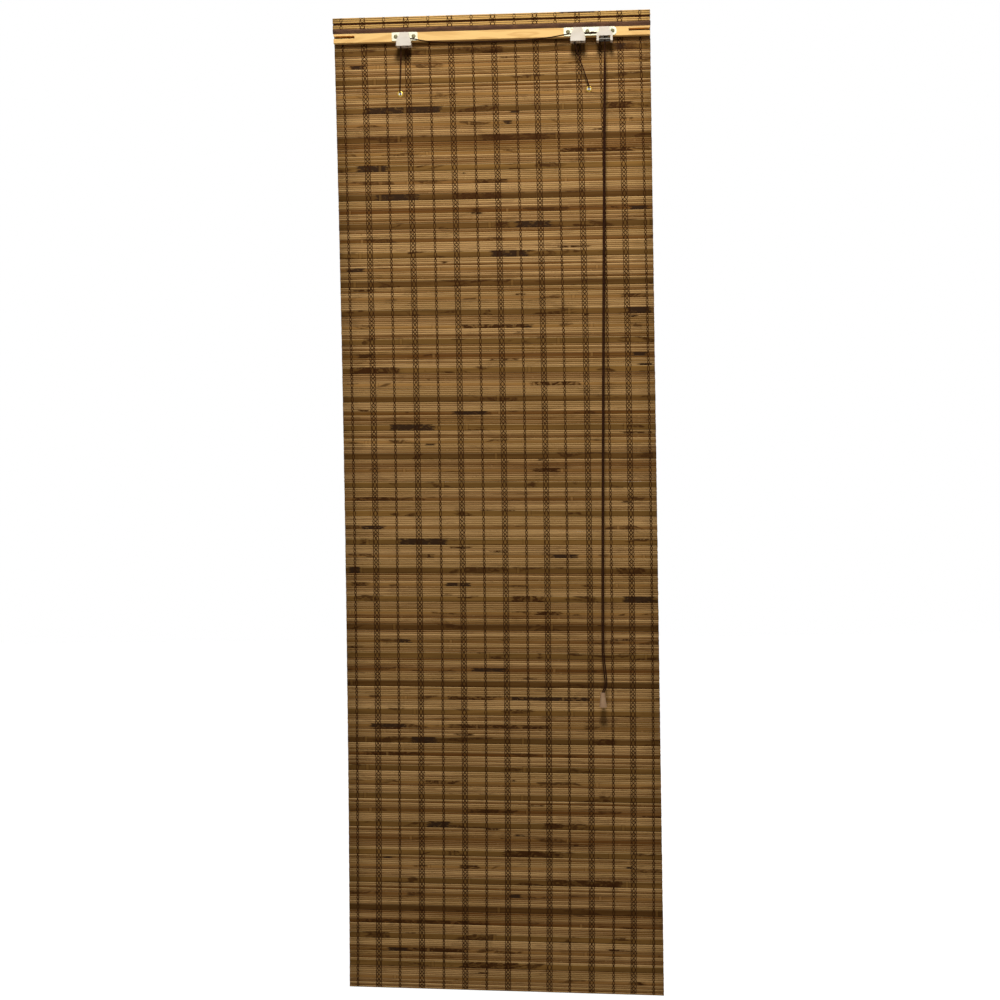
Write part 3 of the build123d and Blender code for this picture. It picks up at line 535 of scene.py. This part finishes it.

# %% [markdown]
# ## Scorches and stains
# The scorched and stained stretches are what makes this mat this one and no other. The ones that
# stand out are listed, in millimetres: the height of the slat, the middle of the stretch and its
# half length. Short ones fall at random. A painted mask could do the same, but a weft carries
# two numbers more easily than an image.

# %% Numbers that each weft carries
dice = np.random.default_rng(20240611)
scorches = [
    (-137, -171, 77), (-246, -231, 33), (-300, -184, 44), (-327, 273, 20), (-354, 73, 36),
    (-408, 29, 40), (-436, -265, 20), (-517, 270, 26), (-599, 271, 18), (-707, -52, 35),
    (-734, -163, 46), (-924, -240, 24), (-952, -146, 50), (-979, 124, 28), (-1006, -277, 14),
    (-1033, -79, 28), (-1060, 263, 32), (-1196, -22, 36), (-1250, 90, 80), (-1304, -218, 38),
    (-1332, -149, 29), (-1494, -124, 24), (-1630, 22, 15), (-1739, -207, 22), (-28, 243, 12),
]
stains = [
    (-137, 239, 31), (-191, 40, 70), (-218, 192, 72), (-273, -4, 36), (-300, -31, 52),
    (-327, -34, 15), (-544, 0, 75), (-626, -234, 55), (-653, 112, 52), (-816, 89, 30),
    (-870, -243, 36), (-979, -139, 20), (-1006, 249, 30), (-1033, -267, 22), (-1060, 53, 38),
    (-1087, 92, 30), (-1250, -59, 50), (-1304, -7, 100), (-1332, 194, 27), (-1359, -211, 60),
    (-1413, -113, 40), (-1467, -23, 52), (-1549, 56, 60), (-1576, -66, 24), (-1603, 155, 75),
    (-1684, -156, 130), (-1739, -146, 80), (-1766, -29, 58),
]
shortest_stretch = 5 * MM
farthest_stretch = 290 * MM
same_weft_within = 2 * MM
stains_likelier, stains_longer = 1.6, 2.2


def stretches(dice, z, likely, longest, by_hand):
    """Middle and half length of a stretch on each weft, -1 half length for none."""
    count = len(z)
    half = np.where(dice.random(count) < likely, dice.uniform(shortest_stretch, longest, count), -1.0)
    middle = dice.uniform(-farthest_stretch, farthest_stretch, count)
    for height, x, half_length in by_hand:
        row = int(np.argmin(np.abs(z - height * MM)))
        if abs(z[row] - height * MM) < same_weft_within:
            middle[row], half[row] = x * MM, half_length * MM
    return middle, half


def own_numbers(dice, z, likely, longest, by_hand):
    """The numbers that the bamboo finish reads, one of each for every weft at heights z."""
    scorch = stretches(dice, z, likely, longest, scorches if by_hand else [])
    stain = stretches(dice, z, likely * stains_likelier, longest * stains_longer,
                      stains if by_hand else [])
    return {"tone": dice.random(len(z)), "joint_at": dice.uniform(-half_width, half_width, len(z)),
            "scorch_at": scorch[0], "scorch_half": scorch[1],
            "stain_at": stain[0], "stain_half": stain[1]}


print("set by hand: scorches", len(scorches), "stains", len(stains))

# %% [markdown]
# ## The mat
# An eyelet goes through the mat where the lift cord enters it, so the wefts that it meets are cut
# there. Cutting a mesh with another one is slow and leaves ragged faces, so such a weft is built as
# shorter bars beside the holes, with thin strips above or below a hole where the weft is wide enough.
# They share the weft's numbers, so the grain runs on. Each weft is a little taller than its share of
# the mat, so that it meets the next one and hardly any light comes through.

# %% Build the reeds and slats
eyelet_places = [(-0.175, -0.107), (0.183, -0.107)]
eyelet_cut = 3.45 * MM
thinnest_strip = 0.4 * MM
hollow_at_left = 5.5 * MM


def spans(z, half_high, left, right):
    """What the eyelet holes leave of a weft: start, end, height and half height of each bar."""
    left_over, start = [], left
    for x, hole in eyelet_places:
        hole -= sunk(x, z) - z
        near = max(0.0, abs(z - hole) - half_high * 0.6)
        if near < eyelet_cut:
            reach = math.sqrt(eyelet_cut ** 2 - near ** 2)
            left_over.append((start, x - reach, z, half_high))
            start = x + reach
            for side in (-1, 1):
                strip = half_high - side * (hole - z) - eyelet_cut
                if strip > thinnest_strip:
                    middle = z + side * (half_high - strip / 2)
                    left_over.append((x - reach, start, middle, strip / 2))
    left_over.append((start, right, z, half_high))
    return left_over


def weft_piece(name, kind, rows, finish, half_y, overlap, rings, shape, wobble, chances, by_hand):
    """One piece with every weft of a kind among these rows of the list."""
    z = np.array([wefts[i][1] for i in rows if wefts[i][0] == kind])
    count = len(z)
    half_z = np.full(count, cell_heights[kind] / 2 + overlap)
    hollow = hollow_at_left * (1 - down_the_mat(z) ** 2)
    left = -half_width + hollow + dice.uniform(0, 0.4, count) * MM
    right = half_width - dice.uniform(0, 0.5, count) * MM
    pieces = [(i, *bar) for i in range(count) for bar in spans(z[i], half_z[i], left[i], right[i])]
    row = np.array([piece[0] for piece in pieces])
    left, right, height, half_high = np.array([piece[1:] for piece in pieces]).T
    numbers = own_numbers(dice, z, *chances, by_hand)
    points = weft_rings(dice, left, right, np.full(len(row), mat_middle_y), height,
                        np.full(len(row), half_y), half_high, rings, *shape, wobble)
    piece = bars(name, settled(points), finish,
                 {number: values[row] for number, values in numbers.items()}, section(*shape)[1])
    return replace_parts(piece, "shade_mat")


reed_shape, slat_shape = (8, 0.9), (12, 0.35)
reed_build = {"half_y": 1.06 * MM, "overlap": 0.20 * MM, "rings": 13, "shape": reed_shape,
              "wobble": 0.05 * MM, "chances": (0.05, 0.016), "by_hand": False}
slat_build = {"half_y": 0.75 * MM, "overlap": 0.12 * MM, "rings": 17, "shape": slat_shape,
              "by_hand": True}
whole_mat = range(len(wefts))
upper_half, lower_half = whole_mat[:len(wefts) // 2], whole_mat[len(wefts) // 2:]
weft_piece("upper_reeds", "reed", upper_half, reed_finish, **reed_build)
weft_piece("lower_reeds", "reed", lower_half, reed_finish, **reed_build)
weft_piece("medium_slats", "medium", whole_mat, medium_finish, **slat_build,
           wobble=0.09 * MM, chances=(0.2, 0.016))
weft_piece("wide_slats", "wide", whole_mat, slat_finish, **slat_build,
           wobble=0.10 * MM, chances=(0.15, 0.018))

# %% [markdown]
# ## Chains of yarn
# Seen from the front, each narrow column is a chain: its two threads part over the slats and over
# every second reed, and close together over the reeds between. A wide column is two such chains out
# of step with the narrow ones: their inner threads meet in the middle over the odd reeds. A bevelled
# curve for each thread would give the same shape, but the points of thousands of crossings are set
# far quicker as one block of numbers: a thread is a bar whose rings stand square to its line.

# %% Threads
def thread_rings(line, radius, sides, swell=1.0):
    """Rings of points round threads given as line[thread, point, xyz], each ring square to it."""
    along = np.gradient(line, axis=1)
    along /= np.linalg.norm(along, axis=2, keepdims=True)
    across = np.cross(np.array([1.0, 0.0, 0.0]), -along)
    across /= np.linalg.norm(across, axis=2, keepdims=True)
    side = np.cross(across, along)
    turn = 2 * math.pi * np.arange(sides) / sides
    spread = radius * np.broadcast_to(swell, line.shape[1])[None, :, None, None]
    return (line[:, :, None, :] + spread * (np.cos(turn)[:, None] * side[:, :, None, :]
                                            + np.sin(turn)[:, None] * across[:, :, None, :]))


# %% Where each chain lies over a weft
column_shares = (-0.92, -0.65, -0.37, -0.097, 0.173, 0.43, 0.707, 0.96)
narrow_columns = [share * half_width for share in column_shares]
wide_columns = [(a + b) / 2 for a, b in zip(narrow_columns, narrow_columns[1:])]
crests = {"reed": 1.1 * MM, "medium": 0.8 * MM, "wide": 0.8 * MM}
crossing_swell = 1.3
dip_depth = 0.62 * MM
column_sway = 0.12 * MM
steps = []
number = 0
for kind, z in wefts[::-1]:
    number = number + 1 if kind == "reed" else 0
    steps.append((z, crests[kind], number % 2 == 1))
print("narrow columns", len(narrow_columns), "wide columns", len(wide_columns), "steps", len(steps))


def column_line(middle, open_at, shut_at, side, reach):
    """A thread up one column: its points over each weft, and between it and the next."""
    points = []
    for (z, crest, odd), (next_z, _, next_odd) in zip(steps, steps[1:] + [(mat_top, 0, False)]):
        here = shut_at if odd else open_at
        there = shut_at if next_odd else open_at
        x = middle + bow(z) + here + column_sway * dice.normal()
        points.append((x, mat_middle_y + side * (crest + reach), z))
        dip = mat_middle_y + side * (dip_depth + reach)
        points.append((middle + bow(z) + (here + there) / 2, dip, (z + next_z) / 2))
    return points


def chains(name, middles, pairs, side, radius, sides, node):
    """The threads of some columns: pairs gives where each lies when its chain is open and shut."""
    lines = [column_line(middle, open_at * MM, shut_at * MM, side, radius * 0.8)
             for middle in middles for open_at, shut_at in pairs]
    swell = [part for _, _, odd in steps for part in ((crossing_swell if odd else 1.0), 1.0)]
    rings = thread_rings(settled(np.array(lines)), radius, sides, swell)
    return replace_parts(bars(name, rings, yarn_finish), node)


front, back = -1, 1
front_yarn, rear_yarn = 0.58 * MM, 0.45 * MM
narrow_pair = [(-2.3, -0.35), (2.3, 0.35)]
wide_pairs = [(-4.3, -5.2), (-3.4, -0.4), (3.4, 0.4), (4.3, 5.2)]
for name, middles, pairs in (("front_narrow_chains", narrow_columns, narrow_pair),
                             ("front_wide_chains_left", wide_columns[:4], wide_pairs),
                             ("front_wide_chains_right", wide_columns[4:], wide_pairs)):
    chains(name, middles, pairs, front, front_yarn, 5, "front_yarn_chains")
for name, middles, pairs in (("rear_narrow_chains", narrow_columns, [(-0.5, -1.4), (0.5, 1.4)]),
                             ("rear_wide_chains", wide_columns, [(-3.4, -4.4), (3.4, 4.4)])):
    chains(name, middles, pairs, back, rear_yarn, 3, "rear_yarn_chains")

# %% [markdown]
# ## The folded head
# A strip of the same matting is folded over the top of the rail. It shows three reeds, a sunk dark
# line, and three more reeds whose last one is under the tape. A copy of the mat could be bent over
# the rail with a modifier, but only ten reeds show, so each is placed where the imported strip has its
# ridge, as y and z in millimetres.

# %% Reeds of the folded strip
front_reeds = [(-7.1, 31.0), (-7.1, 27.5), (-7.1, 20.3), (-7.1, 16.9), (-7.1, 13.5)]
edge_reed = [(-6.75, 34.35)]
top_reeds = [(-3.3, 34.7), (0.2, 34.7), (3.7, 34.7), (7.1, 34.7)]
band_places = np.array(front_reeds + edge_reed + top_reeds) * MM
band_half_y = np.array([1.0] * 5 + [1.45] + [1.65] * 4) * MM
band_half_z = np.array([1.72, 1.85, 1.72, 1.72, 1.72] + [1.45] + [1.0] * 4) * MM
band_ends = np.full(len(band_places), half_width)
band_rings = 21
band_points = weft_rings(dice, -band_ends, band_ends - dice.uniform(0, 0.8, len(band_places)) * MM,
                         *band_places.T, band_half_y, band_half_z, band_rings, *reed_shape, 0.08 * MM)
band_numbers = own_numbers(dice, band_places[:, 1], 0.1, 0.02, by_hand=False)
band_numbers["tone"] = 0.7 + 0.3 * band_numbers["tone"]
band_reeds = bars("folded_strip_reeds", band_points, strip_finish, band_numbers,
                  section(*reed_shape)[1])
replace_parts(band_reeds, "head_mat_band")

# %% [markdown]
# Below the third reed the strip shows one dark line. A dark stripe in the finish would lie on the
# crests of the reeds, so the line is a thin flat bar of its own, set deeper than the reeds beside it.
# Its depth gives it some real shade, and its dark yarn finish adds painted shade.

# %% The sunk line between the reeds
groove_end = 299.5 * MM
groove_points = weft_rings(dice, np.array([-groove_end]), np.array([groove_end]), np.array([-6.45]) * MM,
                           np.array([23.9]) * MM, np.array([0.42]) * MM, np.array([2.2]) * MM,
                           band_rings, 8, 0.6, 0.05 * MM)
# The dark finish of this bar is painted shade for the sunk gap.
groove_line = bars("sunk_line_painted_shade", groove_points, yarn_finish)
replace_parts(groove_line, "head_mat_band")

# %% [markdown]
# The chains run on over the fold. Their way from the back over the top and down the front is a short
# list of places, y and z in millimetres, with a 1 where the two threads close together.

# %% Threads over the folded strip
over_the_top = [(8.3, 35.45, 0), (7.1, 35.95, 1), (5.4, 35.6, 0), (3.7, 35.95, 0), (1.9, 35.6, 0),
                (0.2, 35.95, 1), (-1.6, 35.6, 0), (-3.3, 35.95, 0), (-5.0, 35.7, 0),
                (-7.0, 35.6, 0), (-8.2, 34.6, 1), (-8.1, 32.6, 0), (-8.42, 30.75, 0),
                (-8.1, 28.8, 0), (-8.42, 27.0, 1), (-8.0, 25.1, 0), (-7.2, 23.8, 0),
                (-8.0, 22.5, 0), (-8.42, 20.8, 1), (-8.1, 19.0, 0), (-8.42, 17.2, 0),
                (-8.1, 15.4, 0), (-8.42, 14.2, 1)]
folded_yarn = 0.55 * MM


def folded_line(middle, open_at, shut_at):
    """One thread of a column at middle, all the way over the fold."""
    return [(middle + bow(mat_top) + (shut_at if shut else open_at) * MM, y * MM, z * MM)
            for y, z, shut in over_the_top]


folded_lines = [folded_line(middle, open_at, shut_at)
                for middles, pairs in ((narrow_columns, narrow_pair), (wide_columns, wide_pairs))
                for middle in middles for open_at, shut_at in pairs]
folded_rings = thread_rings(np.array(folded_lines)[:, ::-1], folded_yarn, 6)
folded_threads = bars("folded_strip_threads", folded_rings, yarn_finish)
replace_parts(folded_threads, "head_band_yarns")

# %% [markdown]
# ## The tape
# The tape covers the cut end of the strip and steps down onto the rail. Simulated cloth would lie
# much the same, since glue holds every millimetre of it, so its bent outline is given as a list and
# drawn out along the rail with a slight waver, as glued tape has.

# %% Glued tape
tape_outline = np.array([(-8.35, 14.5), (-8.7, 14.55), (-8.88, 14.2), (-8.9, 12.4), (-8.8, 11.0),
                         (-7.6, 9.2), (-6.8, 8.2), (-6.65, 6.5), (-6.5, 6.3), (-6.05, 6.4),
                         (-6.05, 8.6), (-6.9, 10.0), (-8.2, 11.9), (-8.3, 13.2)])[::-1] * MM
tape_rings = 61
tape_x = np.linspace(-half_width, half_width, tape_rings)[None, :]
tape_lift = 0.22 * MM * waver(dice, 1, tape_x, 0.11)
tape_points = np.zeros((1, tape_rings, len(tape_outline), 3))
tape_points[..., 0] = tape_x[:, :, None]
tape_points[..., 1] = tape_outline[:, 0]
tape_points[..., 2] = tape_outline[:, 1] + tape_lift[:, :, None]
glued_tape = bars("glued_tape", tape_points, tape_finish)
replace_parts(glued_tape, "binding_tape")

# %% [markdown]
# ## The pull cords
# Two cords leave the lock side by side and hang down to the bell, where they kink to the right
# before they go in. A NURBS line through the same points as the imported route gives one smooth
# hanging curve, and its bevel the round cord.

# %% Cords
def hanging_line(name, points, thickness, closed=False):
    """A round cord along points that are given in millimetres."""
    data = bpy.data.curves.new(name, "CURVE")
    data.dimensions = "3D"
    data.bevel_depth = thickness / 2
    data.bevel_resolution = 3
    line = data.splines.new("NURBS")
    line.points.add(len(points) - 1)
    for place, point in zip(line.points, points):
        place.co = (*[value * MM for value in point], 1.0)
    line.order_u = 3
    line.use_cyclic_u = closed
    line.use_endpoint_u = not closed
    line.resolution_u = 12
    return part_of_blind(name, data, cord_finish)


pull_thickness = 2.4 * MM
left_pull = hanging_line("left_pull", [
    (213.5, -13.8, -24.5), (213.5, -13.8, -40.5), (212.2, -14.8, -72.0), (210.6, -15.9, -124.0),
    (191.3, -16.5, -1150.0), (193.4, -16.5, -1196.0), (196.9, -16.5, -1223.0),
    (196.0, -16.5, -1236.0), (190.95, -16.5, -1245.0), (190.95, -16.5, -1253.0)], pull_thickness)
right_pull = hanging_line("right_pull", [
    (213.5, -19.2, -24.5), (213.5, -19.2, -40.5), (214.2, -18.4, -72.0), (213.2, -17.1, -124.0),
    (193.8, -16.5, -1150.0), (196.9, -16.5, -1196.0), (200.2, -16.5, -1222.0),
    (198.9, -16.5, -1237.0), (193.65, -16.5, -1246.0), (193.65, -16.5, -1253.0)], pull_thickness)
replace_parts(left_pull, "left_pull_cord")
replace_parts(right_pull, "right_pull_cord")
print("pull cords", left_pull.name, right_pull.name)

# %% [markdown]
# ## Knots
# A knot is a closed line that passes over and under itself: a trefoil, which is what an overhand
# knot is when its ends are joined. It is drawn tight by making the line nearly as thick as the loops.

# %% Knots
knot_points = 24
knot_thickness = 1.9 * MM


def trefoil(x, y, z, across, high):
    turns = [2 * math.pi * i / knot_points for i in range(knot_points)]
    return [(x + across * (math.sin(t) + 2 * math.sin(2 * t)) / 3,
             y + across * (math.cos(t) - 2 * math.cos(2 * t)) / 3,
             z - high * math.sin(3 * t)) for t in turns]


def knot(name, middle, across, high, node):
    piece = hanging_line(name, trefoil(*middle, across, high), knot_thickness, closed=True)
    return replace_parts(piece, node)


knot("left_stop", (-175.0, 12.6, -1715.7), 2.0, 1.5, "left_stop_knot")
knot("right_stop", (183.0, 12.6, -1715.7), 2.0, 1.5, "right_stop_knot")
pull_knot = knot("pull_knot", (192.3, -16.5, -1256.0), 2.2, 2.0, "tassel_knot")
print("knot in the bell", pull_knot.name)

# %% [markdown]
# ## Lashings and straps
# Each ring behind the mat is lashed to a slat with five turns of yarn, and each strap round the
# batten is four strands side by side. A screw modifier would wind one long thread; separate loops
# look the same from outside, and the bars above already make them.

# %% Ring lashings and batten straps
def turns_of_yarn(name, centres, offsets, loop, radius, stands_for):
    """Loops of yarn: loop gives y and z round each centre, repeated at each offset along X."""
    lines = [[(x + offset * MM, y * MM, z + up * MM) for y, up in loop]
             for x, z in centres for offset in offsets]
    piece = bars(name, thread_rings(np.array(lines), radius, 6), yarn_finish)
    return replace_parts(piece, *stands_for)


first_slat_z = wefts[0][1]
ring_heights = [first_slat_z - repeat_height * period for period in range(7, repeats, 5)]
loop_y, loop_deep, loop_high = 9.45, 0.98, 1.15
ring_loop = [(loop_y + loop_deep * math.cos(turn), loop_high * math.sin(turn))
             for turn in np.linspace(0, 2 * math.pi, 13)]
turns_of_yarn("ring_lashings", [(x, z) for x, _ in eyelet_places for z in ring_heights],
              (-1.2, -0.6, 0.0, 0.6, 1.2), ring_loop, 0.32 * MM, ["left_ring_ties", "right_ring_ties"])
batten_middle = -1766.0 * MM
strap_corners = [(8.9, 11.4), (13.2, 11.4), (14.1, 11.2), (14.6, 10.4), (14.6, 0.0),
                 (14.6, -10.4), (14.1, -11.2), (13.2, -11.4), (8.9, -11.4)]
strapped_bays = (0, 2, 4, 6)
narrow_edge, wide_edge = 2.3 * MM, 5.4 * MM
strap_x = [((narrow_columns[bay] + narrow_edge) + (wide_columns[bay] - wide_edge)) / 2
           + bow(batten_middle) for bay in strapped_bays]
turns_of_yarn("strap_strands", [(x, batten_middle) for x in strap_x], (-1.5, -0.5, 0.5, 1.5),
              strap_corners, 0.5 * MM, ["batten_straps"])

# %% [markdown]
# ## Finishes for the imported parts
# The rigid parts already have their real shapes, so they keep them and get a finish each.

# %% Hand out the finishes
packed_parts = [
    (rail_finish, ["headrail", "left_rail_end", "right_rail_end"]),
    (batten_finish, ["bottom_batten"]),
    (zinc_finish, ["left_guide_plate", "right_plate", "mat_staples"]),
    (screw_finish, ["left_plate_screws", "right_plate_screws"]),
    (white_finish, ["left_guide_hood", "right_guide_hood", "lock_housing"]),
    (pulley_finish, ["left_guide_pulley", "right_guide_pulley", "lock_pulley"]),
    (steel_finish, ["left_guide_axle", "right_guide_axle", "lock_pulley_axle", "lock_front_roller",
                    "lock_front_pin", "lock_grip_pin", "lock_grip_roller"]),
    (brass_finish, ["left_eyelet", "right_eyelet", "left_eyelet_washer", "right_eyelet_washer"]),
    (cord_finish, ["left_lift_cord", "right_lift_cord"]),
    (ring_finish, ["left_lift_rings", "right_lift_rings"]),
    (bell_finish, ["pull_tassel"]),
]
for finish, members in packed_parts:
    for member in members:
        nodes[member].data.materials.clear()
        nodes[member].data.materials.append(finish)
print("packed parts with a finish", sum(len(members) for _, members in packed_parts))

# %% [markdown]
# ## Floor and light
# The blind hangs in a plain pale room. The floor lies below it and runs far back; where the camera
# or a reflection sees it, a little white is added so that it melts into the white surroundings and
# still keeps the shadow.

# %% Floor
floor_z = -1.95
floor_reach = 9.0
floor_glow = 0.86
corners = [(x * floor_reach, y * floor_reach, floor_z) for x, y in ((-1, -1), (1, -1), (1, 1), (-1, 1))]
floor_mesh = bpy.data.meshes.new("pale_floor")
floor_mesh.from_pydata(corners, [], [(0, 1, 2, 3)])
floor = linked("pale_floor", floor_mesh)
ground = Finish("pale_floor")
floor_mesh.materials.append(ground.paint((0.66, 0.65, 0.63, 1.0), 0.9))
black, white = (0.0, 0.0, 0.0, 1.0), (1.0, 1.0, 1.0, 1.0)
ground.feed(ground.shader.inputs["Emission Color"], ground.blend(black, white, ground.seen()))
ground.shader.inputs["Emission Strength"].default_value = floor_glow
print("floor at", floor_z)

# %% [markdown]
# The room's own light is weak and even, and white only to the camera. One lamp above and in front
# lights the upper mat more than the lower, as a window beside the blind would; a second, softer one
# behind keeps the back readable.

# %% Lights
world = bpy.data.worlds.new("pale_room")
bpy.context.scene.world = world
room = Graph(world)
room_light = room.node("Background", {}, {"Color": (1.0, 0.985, 0.96, 1.0), "Strength": 0.15})
room_white = room.node("Background", {}, {"Color": (1.0, 1.0, 1.0, 1.0), "Strength": 1.0})
room_surface = room.node("MixShader", {}, {0: room.seen(), 1: room_light, 2: room_white})
room.node("OutputWorld", {}, {"Surface": room_surface})


def lamp(name, place, aim, width, watts):
    light = linked(name, bpy.data.lights.new(name, "AREA"))
    light.data.size = width
    light.data.energy = watts
    light.location = place
    light.rotation_euler = (Vector(aim) - Vector(place)).to_track_quat("-Z", "Y").to_euler()


lamp("window_lamp", (0.12, -1.7, 1.10), (0.0, 0.0, -0.35), 0.5, 47.0)
lamp("back_lamp", (1.2, 2.6, 1.2), (0.0, 0.0, -0.8), 1.4, 26.0)
bpy.context.scene.view_settings.view_transform = "Standard"
print("lamps", len(bpy.data.lights))
